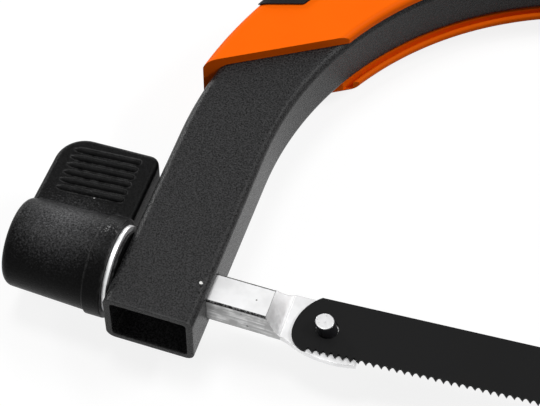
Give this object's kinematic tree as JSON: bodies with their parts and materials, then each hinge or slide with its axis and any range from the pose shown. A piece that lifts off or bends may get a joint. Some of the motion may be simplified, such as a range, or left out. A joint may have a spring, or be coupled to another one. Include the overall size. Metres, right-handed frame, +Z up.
{
  "type": "hacksaw",
  "caption": "Hacksaw with a bent rectangular tube frame, a winged tension knob, a flat toothed blade on leaning pins, a moulded saddle on the front bend and a closed moulded handle.",
  "frame": {"origin": "under the middle of the saw's box, on the surface that it lies on", "axes": "+X from the tension knob along the blade to the handle, +Y from the blade to the spine, +Z up from the surface that the saw lies on"},
  "size_m": [0.4724, 0.1422, 0.028],
  "materials": {
    "tube_coat": "black powder coat with a fine grain",
    "zinc_bar": "bright zinc plate, finely brushed",
    "pin_steel": "bright turned pin end",
    "blade_coat": "satin black lacquer on blade steel",
    "bush_black": "plain moulded black",
    "washer_zinc": "bright zinc plate",
    "knob_black": "moulded black with a spark-eroded grain, scuffed at the collar",
    "nut_zinc": "zinc plate",
    "saddle_orange": "satin orange moulding with bright edges",
    "pad_rubber": "soft black rubber, fine grain",
    "screw_black": "black oxide",
    "handle_orange": "satin orange moulding",
    "grip_rubber": "soft black rubber with shallow ribs"
  },
  "bodies": {
    "frame": {"frame_tube": "tube_coat", "guide_bush": "bush_black", "washer": "washer_zinc", "saddle_shell": "saddle_orange", "saddle_pad": "pad_rubber", "saddle_screws": "screw_black", "rear_holder": "zinc_bar", "rear_blade_pin": "pin_steel", "holder_cross_pin": "pin_steel", "handle_near_half": "handle_orange", "handle_far_half": "handle_orange", "handle_screws": "screw_black", "handle_nuts": "nut_zinc", "grip_sleeve": "grip_rubber"},
    "knob": {"knob_body": "knob_black", "knob_collar": "knob_black", "knob_nut": "nut_zinc"},
    "draw_bar": {"draw_bar": "zinc_bar", "front_blade_pin": "pin_steel"},
    "blade": {"blade": "blade_coat"}
  },
  "joints": [
    {"name": "knob_turn", "type": "hinge", "parent": "frame", "child": "knob", "pos_m": [-0.20365, -0.05586, 0.014], "axis": [-0.9979, 0.0645, 0], "range_deg": [-288, 108]},
    {"name": "draw_slide", "type": "slide", "parent": "frame", "child": "draw_bar", "axis": [0.9979, -0.0645, 0], "range_m": [-0.00081, 0.00031]},
    {"name": "blade_slip", "type": "slide", "parent": "frame", "child": "blade", "axis": [1, 0, 0], "range_m": [-0.00041, 0.00016]}
  ],
  "couplings": [
    {"joint": "draw_slide", "follows": "knob_turn", "m_per_rad": 0.00015915},
    {"joint": "blade_slip", "follows": "knob_turn", "m_per_rad": 0.000079577}
  ]
}
